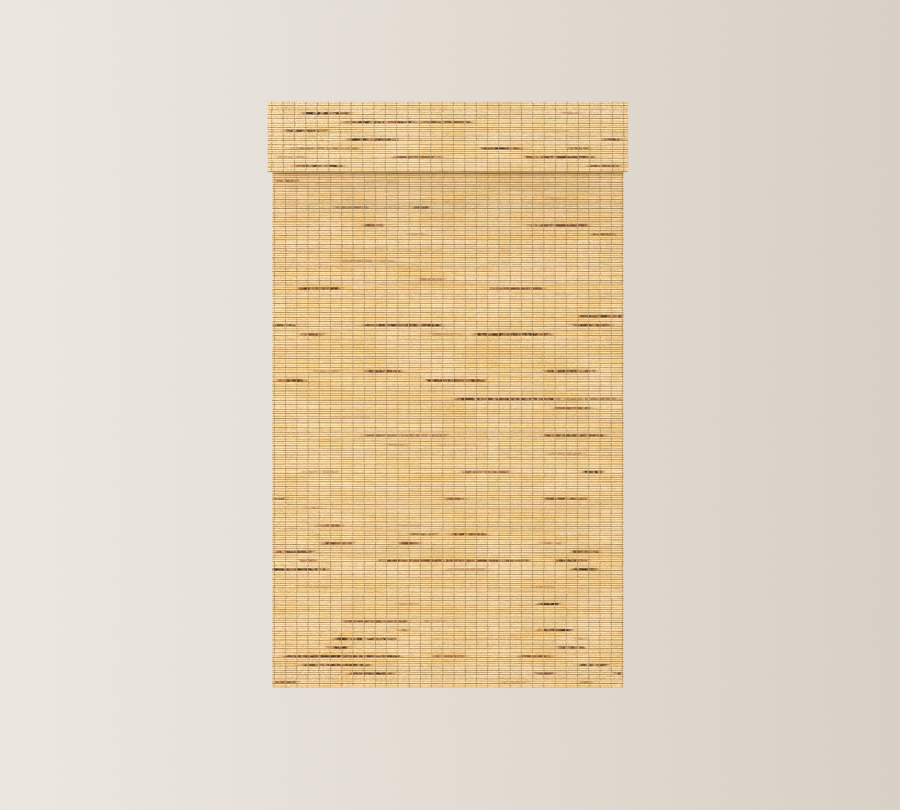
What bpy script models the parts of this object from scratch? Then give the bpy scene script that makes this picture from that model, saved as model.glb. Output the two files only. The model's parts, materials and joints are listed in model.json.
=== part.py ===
"""Cordless spring roller blind of woven wood, with a flat valance in front of its roller.

Units are metres. X runs along the blind's width, -Y is the room side and +Z is up.
The origin is the centre of the headrail's top face, which is screwed under a window head.
"""

from math import asin, atan2, cos, pi, radians, sin, sqrt, tau

import bmesh
import bpy
from mathutils import Matrix, Vector

# Overall sizes
BLIND_WIDTH = 0.8076  # over the valance
BLIND_HEIGHT = 1.318
VALANCE_HEIGHT = 0.157

# Clearances
SEAT_GAP = 0.0003  # between pieces that rest on each other
TURN_GAP = 0.0007  # between a turning face and a fixed one
THROUGH = 0.002  # how far a cutter runs past the faces it cuts

# Woven wood: slats held by warp threads
WEAVE_THICKNESS = 0.002
WRAPS_THICKNESS = 0.0033  # the turns that stay on the roller when the blind is down
WINDING_TURNS = 6  # turns that the roller makes to raise the hem
WINDING_PITCH = 0.0021  # what each of those turns adds to the roll's radius
LEAD_LENGTH = 0.083  # fabric between the roller and the stretch that rolls up

# Headrail and its brackets
HEADRAIL_THICKNESS = 0.015
HEADRAIL_DEPTH = 0.083
HEADRAIL_INSET = 0.0008  # the valance laps each end of the headrail by this
HEADRAIL_EDGE_ROUND = 0.0012
MOUNT_HOLE_RADIUS = 0.0026
MOUNT_SINK_RADIUS = 0.0052
MOUNT_SINK_DEPTH = 0.003
MOUNT_HOLE_SPREAD = (0.15, 0.33)  # each side of the middle
BRACKET_THICKNESS = 0.0018
BRACKET_DEPTH = 0.052
BRACKET_FLANGE = 0.022
BRACKET_NOSE_RADIUS = 0.016
BRACKET_SHOULDER = 0.010  # straight sides under the flange
BRACKET_BEND = 0.003
BRACKET_SCREW_SPREAD = 0.036

# Wood screws that hold the brackets
SCREW_RADIUS = 0.00175
SCREW_LENGTH = 0.012
SCREW_TIP = 0.003
SCREW_HEAD_RADIUS = 0.0034
SCREW_HEAD_HEIGHT = 0.0022
SCREW_SLOT_WIDTH = 0.0009
SCREW_SLOT_DEPTH = 0.0009

# Roller
ROLLER_CLEARANCE = 0.0227  # from the headrail's top to the full roll
FULL_ROLL_GAP = 0.002  # from the full roll to the valance
TUBE_RADIUS = 0.019
TUBE_WALL = 0.0012
GROOVE_ANGLE = pi  # from the back of the roller, over its top
GROOVE_WIDTH = 0.004
GROOVE_DEPTH = 0.003
SPLINE_RADIUS = 0.0012
PLUG_LENGTH = 0.030
FLANGE_THICKNESS = 0.0015
FLANGE_LIP = 0.0003  # the end flanges stop this far inside the tube's outer wall

# Spring end: shaft, ratchet and pawls
SHAFT_RADIUS = 0.0035
SHAFT_TAIL = 0.0025  # the shaft runs this far past the drive plug
BLADE_HEIGHT = 0.0062
BLADE_THICKNESS = 0.0026
BUSH_WALL = 0.0015
RECESS_DEPTH = 0.007
RECESS_WALL = 0.002
RATCHET_RADIUS = 0.008
RATCHET_FACE = 0.0006  # from a locked pawl's nose to the locking face
RATCHET_THICKNESS = 0.003
NOTCHES = 4
NOSE_ANGLE = radians(150)  # where the top pawl's nose meets the ratchet
PAWL_PIVOT_RADIUS = 0.0128
PAWL_HUB_RADIUS = 0.0022
PAWL_HALF = 0.0009  # half the width of a pawl's arm
PAWL_OPEN = radians(18)
PAWL_PIN_RADIUS = 0.001
PAWL_PIN_SEAT = 0.004
COLLAR_LENGTH = 0.012
COLLAR_RADIUS = 0.0105
COLLAR_PIN_RADIUS = 0.0012
SPRING_RADIUS = 0.0078
SPRING_WIRE = 0.0008
SPRING_LENGTH = 0.150
SPRING_TURNS = 20
SPRING_STEPS = 10  # points in one turn
SPRING_LEG = 0.006
DRIVE_PLUG_LENGTH = 0.015

# Idle end: sprung pin
PIN_RADIUS = 0.0025
PIN_HEAD_RADIUS = 0.004
PIN_HEAD_LENGTH = 0.005
PIN_BORE_DEPTH = 0.024
BUSH_FLANGE_RADIUS = 0.006
BUSH_BARREL_RADIUS = 0.0042
BUSH_FLANGE = 0.0009
PIN_SPRING_RADIUS = 0.003
PIN_SPRING_WIRE = 0.0004
PIN_SPRING_TURNS = 7

# Valance fixings and hem
VALANCE_DROP = 0.001  # from the headrail's top to the valance's top
TAPE_THICKNESS = 0.001
TAPE_HEIGHT = 0.012
TAPE_INSET = 0.010
VALANCE_FOLD = 0.026
VALANCE_BATTEN_HEIGHT = 0.018
VALANCE_BATTEN_THICKNESS = 0.003
BATTEN_INSET = 0.006

# Bottom hem
HEM_HEIGHT = 0.030
HEM_FOLD = 0.028
BAR_HEIGHT = 0.020
BAR_THICKNESS = 0.003
BAR_CAP_WALL = 0.0008
BAR_CAP_REACH = 0.012
BAR_INSET = 0.004

# Places worked out from the sizes above
HEADRAIL_X = BLIND_WIDTH / 2 - HEADRAIL_INSET
BRACKET_OUTER_X = HEADRAIL_X - BUSH_FLANGE - SEAT_GAP
BRACKET_X = BRACKET_OUTER_X - BRACKET_THICKNESS
FLANGE_X = BRACKET_X - TURN_GAP
END_X = FLANGE_X - FLANGE_THICKNESS - SEAT_GAP  # the fabric and the tube both end here
PANEL_WIDTH = 2 * END_X
FRONT_Y = -HEADRAIL_DEPTH / 2
VALANCE_BACK_Y = FRONT_Y - 2 * TAPE_THICKNESS - 3 * SEAT_GAP
WRAPS_INNER = TUBE_RADIUS + SEAT_GAP
WRAPS_OUTER = WRAPS_INNER + WRAPS_THICKNESS
FULL_ROLL_RADIUS = WRAPS_OUTER + SEAT_GAP + WEAVE_THICKNESS + WINDING_TURNS * WINDING_PITCH
AXIS_Z = -ROLLER_CLEARANCE - FULL_ROLL_RADIUS
AXIS_Y = VALANCE_BACK_Y + FULL_ROLL_RADIUS + FULL_ROLL_GAP
PANEL_Y = AXIS_Y + WRAPS_OUTER + SEAT_GAP + WEAVE_THICKNESS / 2
LEAD_Z = AXIS_Z - LEAD_LENGTH
HEM_TOP_Z = HEM_HEIGHT - BLIND_HEIGHT - VALANCE_DROP
PLUG_RADIUS = TUBE_RADIUS - TUBE_WALL - SEAT_GAP
FLANGE_RADIUS = TUBE_RADIUS - FLANGE_LIP
RECESS_X = END_X - RECESS_DEPTH
NOSE_RADIUS = PAWL_PIVOT_RADIUS * sin(NOSE_ANGLE)  # so that a locked pawl lies square to its notch
RATCHET_FLAT = NOSE_RADIUS - PAWL_HALF - SEAT_GAP  # from the axis to the floor of a notch
COLLAR_X = END_X - PLUG_LENGTH - SEAT_GAP
SPRING_X = COLLAR_X - COLLAR_LENGTH - SEAT_GAP
DRIVE_X = SPRING_X - SPRING_LENGTH - SEAT_GAP


def empty_scene():
    for item in list(bpy.data.objects):
        bpy.data.objects.remove(item, do_unlink=True)


def collection(name):
    made = bpy.data.collections.new(name)
    bpy.context.scene.collection.children.link(made)
    return made


empty_scene()
BLIND = collection("roller_blind")
CUTTERS = collection("cutters")


def material(name, colour, roughness, metallic=0.0):
    made = bpy.data.materials.new(name)
    made.use_nodes = True
    shader = made.node_tree.nodes["Principled BSDF"]
    shader.inputs["Base Color"].default_value = (*colour, 1.0)
    shader.inputs["Roughness"].default_value = roughness
    shader.inputs["Metallic"].default_value = metallic
    made.diffuse_color = (*colour, 1.0)
    return made


STRAW = (0.83, 0.65, 0.38)
PINE = (0.72, 0.53, 0.31)
WHITE = (0.86, 0.85, 0.82)
ZINC = (0.62, 0.62, 0.60)
BRIGHT_STEEL = (0.70, 0.70, 0.70)
SPRING_STEEL = (0.36, 0.36, 0.38)
GREY = (0.42, 0.42, 0.43)
BRASS = (0.70, 0.52, 0.22)


def place(obj, parent_collection=BLIND):
    parent_collection.objects.link(obj)
    return obj


def smooth(mesh):
    mesh.shade_smooth()
    mesh.set_sharp_from_angle(angle=radians(35))


def finished(name, bm, surface, at=(0, 0, 0)):
    """Turns a bmesh into a part that stands at the given place."""
    mesh = bpy.data.meshes.new(name)
    bm.to_mesh(mesh)
    bm.free()
    smooth(mesh)
    mesh.materials.append(surface)
    obj = place(bpy.data.objects.new(name, mesh))
    obj.location = at
    return obj


def block(name, low, high, surface, edge_round=0.0):
    """A box from its lowest to its highest corner, with its origin at its middle."""
    low, high = Vector(low), Vector(high)
    bm = bmesh.new()
    bmesh.ops.create_cube(bm, size=1.0, matrix=Matrix.Diagonal((*(high - low), 1.0)))
    obj = finished(name, bm, surface, (low + high) / 2)
    if edge_round:
        add_bevel(obj, edge_round)
    return obj


def add_bevel(obj, width, segments=2):
    bevel = obj.modifiers.new("edge_round", "BEVEL")
    bevel.width = width
    bevel.segments = segments
    bevel.limit_method = "ANGLE"
    return bevel


def rod(name, start, end, radius, surface, sides=24):
    """A round bar between two points."""
    start, end = Vector(start), Vector(end)
    along = end - start
    bm = bmesh.new()
    bmesh.ops.create_cone(
        bm,
        cap_ends=True,
        segments=sides,
        radius1=radius,
        radius2=radius,
        depth=along.length,
    )
    obj = finished(name, bm, surface, (start + end) / 2)
    obj.rotation_euler = along.to_track_quat("Z", "Y").to_euler()
    return obj


def turned(name, profile, at, surface, along=(1, 0, 0), steps=32):
    """A turned piece: its profile is (radius, height) from the top down, turned about an axis."""
    mesh = bpy.data.meshes.new(name)
    points = [(radius, 0.0, height) for radius, height in profile]
    edges = [(i, i + 1) for i in range(len(points) - 1)]
    if profile[0][0] and profile[-1][0]:
        edges.append((len(points) - 1, 0))
    mesh.from_pydata(points, edges, [])
    mesh.materials.append(surface)
    obj = place(bpy.data.objects.new(name, mesh))
    obj.location = at
    obj.rotation_euler = Vector(along).to_track_quat("Z", "Y").to_euler()
    screw = obj.modifiers.new("turn", "SCREW")
    screw.steps = screw.render_steps = steps
    screw.use_merge_vertices = True
    screw.merge_threshold = 0.00001
    screw.use_smooth_shade = True
    return obj


def to_mesh(curve_object, surface):
    """Replaces a curve by a welded mesh in the same place."""
    bpy.context.view_layer.update()
    graph = bpy.context.evaluated_depsgraph_get()
    mesh = bpy.data.meshes.new_from_object(curve_object.evaluated_get(graph))
    bm = bmesh.new()
    bm.from_mesh(mesh)
    bmesh.ops.remove_doubles(bm, verts=bm.verts, dist=0.00001)
    bmesh.ops.recalc_face_normals(bm, faces=bm.faces)
    bm.to_mesh(mesh)
    bm.free()
    name, placed = curve_object.name, curve_object.matrix_world.copy()
    bpy.data.objects.remove(curve_object, do_unlink=True)
    smooth(mesh)
    mesh.materials.clear()
    mesh.materials.append(surface)
    made = place(bpy.data.objects.new(name, mesh))
    made.matrix_world = placed
    return made


ALONG_X = (pi / 2, 0, pi / 2)  # an outline in (Y, Z), thick along X
ALONG_Y = (pi / 2, 0, 0)  # an outline in (X, Z), thick along Y


def plate(name, loops, thickness, at, turn, surface):
    """A flat outline, with the holes that its other loops give, made a plate of this thickness."""
    curve = bpy.data.curves.new(name, "CURVE")
    curve.dimensions = "2D"
    curve.fill_mode = "BOTH"
    curve.extrude = thickness / 2
    for loop in loops:
        spline = curve.splines.new("POLY")
        spline.points.add(len(loop) - 1)
        for point, (u, v) in zip(spline.points, loop):
            point.co = (u, v, 0.0, 1.0)
        spline.use_cyclic_u = True
    obj = place(bpy.data.objects.new(name, curve))
    obj.location = at
    obj.rotation_euler = turn
    return to_mesh(obj, surface)


def wire(name, points, radius, surface, resolution=1):
    """A wire through the points, with closed ends."""
    curve = bpy.data.curves.new(name, "CURVE")
    curve.dimensions = "3D"
    curve.bevel_depth = radius
    curve.bevel_resolution = resolution
    curve.use_fill_caps = True
    spline = curve.splines.new("POLY")
    spline.points.add(len(points) - 1)
    for point, place_of in zip(spline.points, points):
        point.co = (*place_of, 1.0)
    curve.materials.append(surface)
    return place(bpy.data.objects.new(name, curve))


def cut(obj, cutter, operation="DIFFERENCE"):
    """Cuts obj by the cutter, or joins the cutter to it."""
    for holder in list(cutter.users_collection):
        holder.objects.unlink(cutter)
    place(cutter, CUTTERS)
    cutter.hide_render = True
    cutter.display_type = "WIRE"
    change = obj.modifiers.new(cutter.name, "BOOLEAN")
    change.operation = operation
    change.object = cutter
    return obj


def arc(centre, radius, start, end, steps):
    """Points round a circle from one angle to another, both ends included."""
    turns = [start + (end - start) * i / steps for i in range(steps + 1)]
    return [(centre[0] + radius * cos(a), centre[1] + radius * sin(a)) for a in turns]


def turned_point(point, angle, centre=(0.0, 0.0)):
    """The point, turned about the centre."""
    u, v = point[0] - centre[0], point[1] - centre[1]
    return (
        centre[0] + u * cos(angle) - v * sin(angle),
        centre[1] + u * sin(angle) + v * cos(angle),
    )


def circle(radius, steps=32, centre=(0.0, 0.0)):
    return arc(centre, radius, 0, tau * (steps - 1) / steps, steps - 1)


def across(name, loops, start_x, end_x, surface):
    """A plate whose outline is in (Y, Z) about the roller's axis, from one X to another."""
    at = ((start_x + end_x) / 2, AXIS_Y, AXIS_Z)
    return plate(name, loops, abs(end_x - start_x), at, ALONG_X, surface)


def drilled(obj, start, end, radius, sides=24):
    """Drills a round hole between two points."""
    return cut(obj, rod(obj.name + "_drill", start, end, radius, None, sides))


def milled(obj, low, high):
    """Cuts a box out of a part."""
    return cut(obj, block(obj.name + "_mill", low, high, None))


# Headrail, brackets and screws


def screw_places():
    """The X and Y of each bracket screw, by name."""
    spread = BRACKET_SCREW_SPREAD / 2
    places = {}
    for end, side in (("left", -1), ("right", 1)):
        x = side * (BRACKET_OUTER_X - BRACKET_FLANGE / 2)
        places[end + "_front"] = (x, AXIS_Y - spread)
        places[end + "_back"] = (x, AXIS_Y + spread)
    return places


BOARD_BOTTOM = -HEADRAIL_THICKNESS
FLANGE_TOP = BOARD_BOTTOM - SEAT_GAP
FLANGE_BOTTOM = FLANGE_TOP - BRACKET_THICKNESS
SCREW_SEAT = FLANGE_BOTTOM - SEAT_GAP


def headrail_board(surface):
    half_depth = HEADRAIL_DEPTH / 2
    low = (-HEADRAIL_X, -half_depth, BOARD_BOTTOM)
    board = block("headrail_board", low, (HEADRAIL_X, half_depth, 0), surface, HEADRAIL_EDGE_ROUND)
    sink = [
        (0.0, THROUGH),
        (MOUNT_HOLE_RADIUS, THROUGH),
        (MOUNT_HOLE_RADIUS, BOARD_BOTTOM + MOUNT_SINK_DEPTH),
        (MOUNT_SINK_RADIUS, BOARD_BOTTOM),
        (MOUNT_SINK_RADIUS, BOARD_BOTTOM - THROUGH),
        (0.0, BOARD_BOTTOM - THROUGH),
    ]
    for spread in MOUNT_HOLE_SPREAD:
        for side in (-1, 1):
            at = (side * spread, 0, 0)
            cut(board, turned("mount_hole", sink, at, surface, along=(0, 0, 1), steps=16))
    hole_top = SCREW_SEAT + SCREW_LENGTH + SEAT_GAP
    for x, y in screw_places().values():
        start, end = (x, y, BOARD_BOTTOM - THROUGH), (x, y, hole_top)
        drilled(board, start, end, SCREW_RADIUS + SEAT_GAP, sides=12)
    return board


def bracket(name, side, surface):
    """A bent steel bracket: a flange under the headrail and a rounded plate at the roller's end."""
    low_z = AXIS_Z - BRACKET_NOSE_RADIUS - THROUGH
    bend_centre = (BRACKET_OUTER_X - BRACKET_BEND, FLANGE_TOP - BRACKET_BEND)
    section = [(BRACKET_OUTER_X - BRACKET_FLANGE, FLANGE_TOP)]
    section += arc(bend_centre, BRACKET_BEND, pi / 2, 0, 4)
    section += [(BRACKET_OUTER_X, low_z), (BRACKET_X, low_z)]
    section += arc(bend_centre, BRACKET_BEND - BRACKET_THICKNESS, 0, pi / 2, 4)
    section += [(BRACKET_OUTER_X - BRACKET_FLANGE, FLANGE_BOTTOM)]
    section = [(side * x, z) for x, z in section]
    made = plate(name, [section], BRACKET_DEPTH, (0, AXIS_Y, 0), ALONG_Y, surface)

    half = BRACKET_DEPTH / 2 + THROUGH
    top = FLANGE_TOP + THROUGH - AXIS_Z
    shoulder = FLANGE_TOP - BRACKET_SHOULDER - AXIS_Z
    tongue = [(-half, top), (-half, shoulder)]
    tongue += arc((0, 0), BRACKET_NOSE_RADIUS, radians(200), radians(340), 14)
    tongue += [(half, shoulder), (half, top)]
    inner_x = BRACKET_OUTER_X - BRACKET_FLANGE - THROUGH
    shape = across(name + "_shape", [tongue], side * inner_x, side * (HEADRAIL_X + THROUGH), None)
    cut(made, shape, "INTERSECT")
    for x, y in screw_places().values():
        if x * side > 0:
            start, end = (x, y, FLANGE_BOTTOM - THROUGH), (x, y, FLANGE_TOP + THROUGH)
            drilled(made, start, end, SCREW_RADIUS + SEAT_GAP, sides=12)
    return made


def idle_bracket(surface):
    made = bracket("idle_bracket", -1, surface)
    start = (-HEADRAIL_X - THROUGH, AXIS_Y, AXIS_Z)
    end = (-BRACKET_X + THROUGH, AXIS_Y, AXIS_Z)
    return drilled(made, start, end, BUSH_BARREL_RADIUS + SEAT_GAP)


def spear_bracket(surface):
    made = bracket("spear_bracket", 1, surface)
    half_y = BLADE_THICKNESS / 2 + SEAT_GAP
    half_z = BLADE_HEIGHT / 2 + SEAT_GAP
    low = (BRACKET_X - THROUGH, AXIS_Y - half_y, AXIS_Z - half_z)
    return milled(made, low, (HEADRAIL_X + THROUGH, AXIS_Y + half_y, AXIS_Z + half_z))


def bracket_bush(surface):
    """A plastic bush, with its flange on the bracket's outer side."""
    flange_foot = BRACKET_THICKNESS + SEAT_GAP
    top = flange_foot + BUSH_FLANGE
    hole = PIN_RADIUS + SEAT_GAP
    profile = [
        (BUSH_FLANGE_RADIUS, top),
        (BUSH_FLANGE_RADIUS, flange_foot),
        (BUSH_BARREL_RADIUS, flange_foot),
        (BUSH_BARREL_RADIUS, 0.0),
        (hole, 0.0),
        (hole, top),
    ]
    return turned("bracket_bush", profile, (-BRACKET_X, AXIS_Y, AXIS_Z), surface, (-1, 0, 0))


def bracket_screw(name, x, y, surface):
    """A pan-head wood screw that points up, with a slot in its head."""
    shoulder = SCREW_LENGTH - SCREW_TIP
    profile = [
        (0.0, SCREW_LENGTH),
        (SCREW_RADIUS, shoulder),
        (SCREW_RADIUS, 0.0),
        (SCREW_HEAD_RADIUS, 0.0),
        (SCREW_HEAD_RADIUS, -SCREW_HEAD_HEIGHT * 0.5),
        (SCREW_HEAD_RADIUS * 0.8, -SCREW_HEAD_HEIGHT * 0.9),
        (SCREW_HEAD_RADIUS * 0.5, -SCREW_HEAD_HEIGHT),
        (0.0, -SCREW_HEAD_HEIGHT),
    ]
    made = turned(name, profile, (x, y, SCREW_SEAT), surface, along=(0, 0, 1), steps=14)
    head_low = SCREW_SEAT - SCREW_HEAD_HEIGHT
    low = (x - SCREW_HEAD_RADIUS * 2, y - SCREW_SLOT_WIDTH / 2, head_low - THROUGH)
    high = (x + SCREW_HEAD_RADIUS * 2, y + SCREW_SLOT_WIDTH / 2, head_low + SCREW_SLOT_DEPTH)
    return milled(made, low, high)


# Roller


def at_groove(aside, radius):
    """A point at this radius, aside from the middle of the groove."""
    return turned_point((radius, aside), GROOVE_ANGLE)


def grooved_circle(radius, groove_floor, half_width, steps=48):
    """A circle with a square notch whose floor lies at groove_floor from the axis."""
    half_angle = asin(half_width / radius)
    points = arc((0, 0), radius, GROOVE_ANGLE + half_angle, GROOVE_ANGLE + tau - half_angle, steps)
    return points + [at_groove(-half_width, groove_floor), at_groove(half_width, groove_floor)]


def roller_tube(surface):
    """A thin tube with a groove along it, which holds the fabric's spline."""
    floor = TUBE_RADIUS - GROOVE_DEPTH
    outer = grooved_circle(TUBE_RADIUS, floor, GROOVE_WIDTH / 2)
    inner = grooved_circle(TUBE_RADIUS - TUBE_WALL, floor - TUBE_WALL, GROOVE_WIDTH / 2 + TUBE_WALL)
    return across("roller_tube", [outer, inner], -END_X, END_X, surface)


def keyed_loop():
    """The outline of a plug that fits the tube and its groove."""
    floor = TUBE_RADIUS - GROOVE_DEPTH - TUBE_WALL - SEAT_GAP
    return grooved_circle(PLUG_RADIUS, floor, GROOVE_WIDTH / 2 + TUBE_WALL + SEAT_GAP, 40)


def fabric_spline(surface):
    radius = TUBE_RADIUS - GROOVE_DEPTH + SEAT_GAP + SPLINE_RADIUS
    y, z = turned_point((radius, 0.0), GROOVE_ANGLE)
    start, end = (-END_X, AXIS_Y + y, AXIS_Z + z), (END_X, AXIS_Y + y, AXIS_Z + z)
    return rod("fabric_spline", start, end, SPLINE_RADIUS, surface, sides=12)


def fabric_wraps(surface):
    loops = [circle(WRAPS_OUTER, 64), circle(WRAPS_INNER, 64)]
    return across("fabric_wraps", loops, -END_X, END_X, surface)


def pawl_pivots():
    """Each pawl's name, its turn about the axis, and its pivot from the axis."""
    return [
        ("top", 0.0, (0.0, PAWL_PIVOT_RADIUS)),
        ("bottom", pi, (0.0, -PAWL_PIVOT_RADIUS)),
    ]


def spring_end_plug(surface):
    """The plug that carries the pawls in a recess round the fixed ratchet."""
    inner_x = END_X - PLUG_LENGTH
    made = across("spring_end_plug", [keyed_loop()], inner_x, END_X, surface)
    bore = SHAFT_RADIUS + SEAT_GAP + BUSH_WALL + SEAT_GAP
    drilled(made, (inner_x - THROUGH, AXIS_Y, AXIS_Z), (END_X, AXIS_Y, AXIS_Z), bore)
    recess = PLUG_RADIUS - RECESS_WALL
    drilled(made, (RECESS_X, AXIS_Y, AXIS_Z), (END_X + THROUGH, AXIS_Y, AXIS_Z), recess, 40)
    hole_floor = RECESS_X - PAWL_PIN_SEAT - SEAT_GAP
    for _, _, (y, z) in pawl_pivots():
        start = (hole_floor, AXIS_Y + y, AXIS_Z + z)
        end = (RECESS_X + THROUGH, AXIS_Y + y, AXIS_Z + z)
        drilled(made, start, end, PAWL_PIN_RADIUS + SEAT_GAP, sides=16)
    return made


def plug_cover(surface):
    """The disc that closes the recess; the pawl pins are riveted through it."""
    holes = [circle(PAWL_PIN_RADIUS + SEAT_GAP, 16, pivot) for _, _, pivot in pawl_pivots()]
    loops = [circle(FLANGE_RADIUS, 48), circle(SHAFT_RADIUS + TURN_GAP, 24), *holes]
    return across("plug_cover", loops, END_X + SEAT_GAP, FLANGE_X, surface)


def shaft_bush(surface):
    hole = SHAFT_RADIUS + SEAT_GAP
    loops = [circle(hole + BUSH_WALL, 24), circle(hole, 24)]
    return across("shaft_bush", loops, END_X - PLUG_LENGTH, RECESS_X, surface)


def spring_drive_plug(surface):
    """The plug that the spring turns, keyed to the tube."""
    loops = [keyed_loop(), circle(SHAFT_RADIUS + SEAT_GAP, 24)]
    return across("spring_drive_plug", loops, DRIVE_X - DRIVE_PLUG_LENGTH, DRIVE_X, surface)


def idle_end_plug(surface):
    """The plug with a blind bore for the sprung pin."""
    made = across("idle_end_plug", [keyed_loop()], -END_X, -END_X + PLUG_LENGTH, surface)
    start = (-END_X - THROUGH, AXIS_Y, AXIS_Z)
    end = (-END_X + PIN_BORE_DEPTH, AXIS_Y, AXIS_Z)
    drilled(made, start, end, PIN_HEAD_RADIUS + SEAT_GAP)
    for _, _, (y, z) in pawl_pivots():
        start = (-END_X - THROUGH, AXIS_Y + y, AXIS_Z + z)
        end = (-END_X + PAWL_PIN_SEAT + SEAT_GAP, AXIS_Y + y, AXIS_Z + z)
        drilled(made, start, end, PAWL_PIN_RADIUS + SEAT_GAP, sides=16)
    return made


def idle_plug_cap(surface):
    """The disc that keeps the sprung pin in its bore."""
    rivets = [circle(PAWL_PIN_RADIUS + SEAT_GAP, 16, pivot) for _, _, pivot in pawl_pivots()]
    loops = [circle(FLANGE_RADIUS, 48), circle(PIN_RADIUS + SEAT_GAP, 24), *rivets]
    return across("idle_plug_cap", loops, -FLANGE_X, -END_X - SEAT_GAP, surface)


def end_pins(surface):
    """The pawls' pivot pins, and the rivets that hold the idle plug's cap."""
    for name, _, (y, z) in pawl_pivots():
        at_y, at_z = AXIS_Y + y, AXIS_Z + z
        start, end = (RECESS_X - PAWL_PIN_SEAT, at_y, at_z), (FLANGE_X, at_y, at_z)
        rod("pawl_pin_" + name, start, end, PAWL_PIN_RADIUS, surface, sides=16)
        start, end = (-FLANGE_X, at_y, at_z), (-END_X + PAWL_PIN_SEAT, at_y, at_z)
        rod("cap_rivet_" + name, start, end, PAWL_PIN_RADIUS, surface, sides=16)


# Fixed shaft, ratchet, pawls and lifting spring


def spear_shaft(surface):
    """The fixed shaft: round inside the roller, with a flat blade that the bracket holds."""
    tail_x = DRIVE_X - DRIVE_PLUG_LENGTH - SHAFT_TAIL
    shoulder_x = BRACKET_X - SEAT_GAP
    made = rod(
        "spear_shaft", (tail_x, AXIS_Y, AXIS_Z), (shoulder_x, AXIS_Y, AXIS_Z), SHAFT_RADIUS, surface
    )
    half_y, half_z = BLADE_THICKNESS / 2, BLADE_HEIGHT / 2
    low = (shoulder_x - THROUGH, AXIS_Y - half_y, AXIS_Z - half_z)
    blade = block("spear_blade", low, (HEADRAIL_X, AXIS_Y + half_y, AXIS_Z + half_z), surface)
    cut(made, blade, "UNION")
    return cross_drilled(made)


def cross_drilled(obj):
    """Drills the hole for the pin through the collar and the shaft."""
    x = COLLAR_X - COLLAR_LENGTH / 2
    reach = COLLAR_RADIUS + THROUGH
    start, end = (x, AXIS_Y, AXIS_Z - reach), (x, AXIS_Y, AXIS_Z + reach)
    return drilled(obj, start, end, COLLAR_PIN_RADIUS + SEAT_GAP, sides=16)


def collar_pin(surface):
    x = COLLAR_X - COLLAR_LENGTH / 2
    start, end = (x, AXIS_Y, AXIS_Z - COLLAR_RADIUS), (x, AXIS_Y, AXIS_Z + COLLAR_RADIUS)
    return rod("collar_pin", start, end, COLLAR_PIN_RADIUS, surface, sides=16)


def spring_collar(surface):
    """The fixed collar that holds the outer end of the spring."""
    loops = [circle(COLLAR_RADIUS, 36), circle(SHAFT_RADIUS + SEAT_GAP, 24)]
    made = across("spring_collar", loops, COLLAR_X - COLLAR_LENGTH, COLLAR_X, surface)
    leg_y = AXIS_Y + SPRING_RADIUS
    start = (SPRING_X - THROUGH, leg_y, AXIS_Z)
    end = (SPRING_X + SPRING_LEG + SEAT_GAP, leg_y, AXIS_Z)
    drilled(made, start, end, SPRING_WIRE + SEAT_GAP, sides=12)
    return cross_drilled(made)


def coil(start_x, end_x, radius, turns, steps):
    """Points along a coil round the roller's axis."""
    count = turns * steps
    angles = [tau * i / steps for i in range(count + 1)]
    return [
        (
            start_x + (end_x - start_x) * i / count,
            AXIS_Y + radius * cos(angle),
            AXIS_Z + radius * sin(angle),
        )
        for i, angle in enumerate(angles)
    ]


def lift_spring(surface):
    """The torsion spring that winds the blind up, with a leg in the fixed collar."""
    leg = (SPRING_X + SPRING_LEG, AXIS_Y + SPRING_RADIUS, AXIS_Z)
    first, last = SPRING_X - SPRING_WIRE, SPRING_X - SPRING_LENGTH + SPRING_WIRE
    points = [leg, *coil(first, last, SPRING_RADIUS, SPRING_TURNS, SPRING_STEPS)]
    return wire("lift_spring", points, SPRING_WIRE, surface)


def ratchet_wheel(surface):
    """A wheel whose notches have a flat floor and a locking face."""
    rim_at_face = sqrt(RATCHET_RADIUS**2 - RATCHET_FACE**2)
    floor_end = sqrt(RATCHET_RADIUS**2 - RATCHET_FLAT**2)
    step = tau / NOTCHES
    first, last = atan2(floor_end, RATCHET_FLAT), step - atan2(RATCHET_FACE, rim_at_face)
    tooth = [(rim_at_face, -RATCHET_FACE), (RATCHET_FLAT, -RATCHET_FACE), (RATCHET_FLAT, floor_end)]
    tooth += arc((0, 0), RATCHET_RADIUS, first, last, 3)[1:-1]
    # The notches are laid out turning one way, then mirrored so that they stop the wind-up.
    rim = [turned_point(p, pi - NOSE_ANGLE + step * k) for k in range(NOTCHES) for p in tooth]
    loops = [[(-y, z) for y, z in rim], circle(SHAFT_RADIUS + SEAT_GAP, 24)]
    middle = RECESS_X + RECESS_DEPTH / 2
    half = RATCHET_THICKNESS / 2
    return across("ratchet_wheel", loops, middle - half, middle + half, surface)


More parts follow.
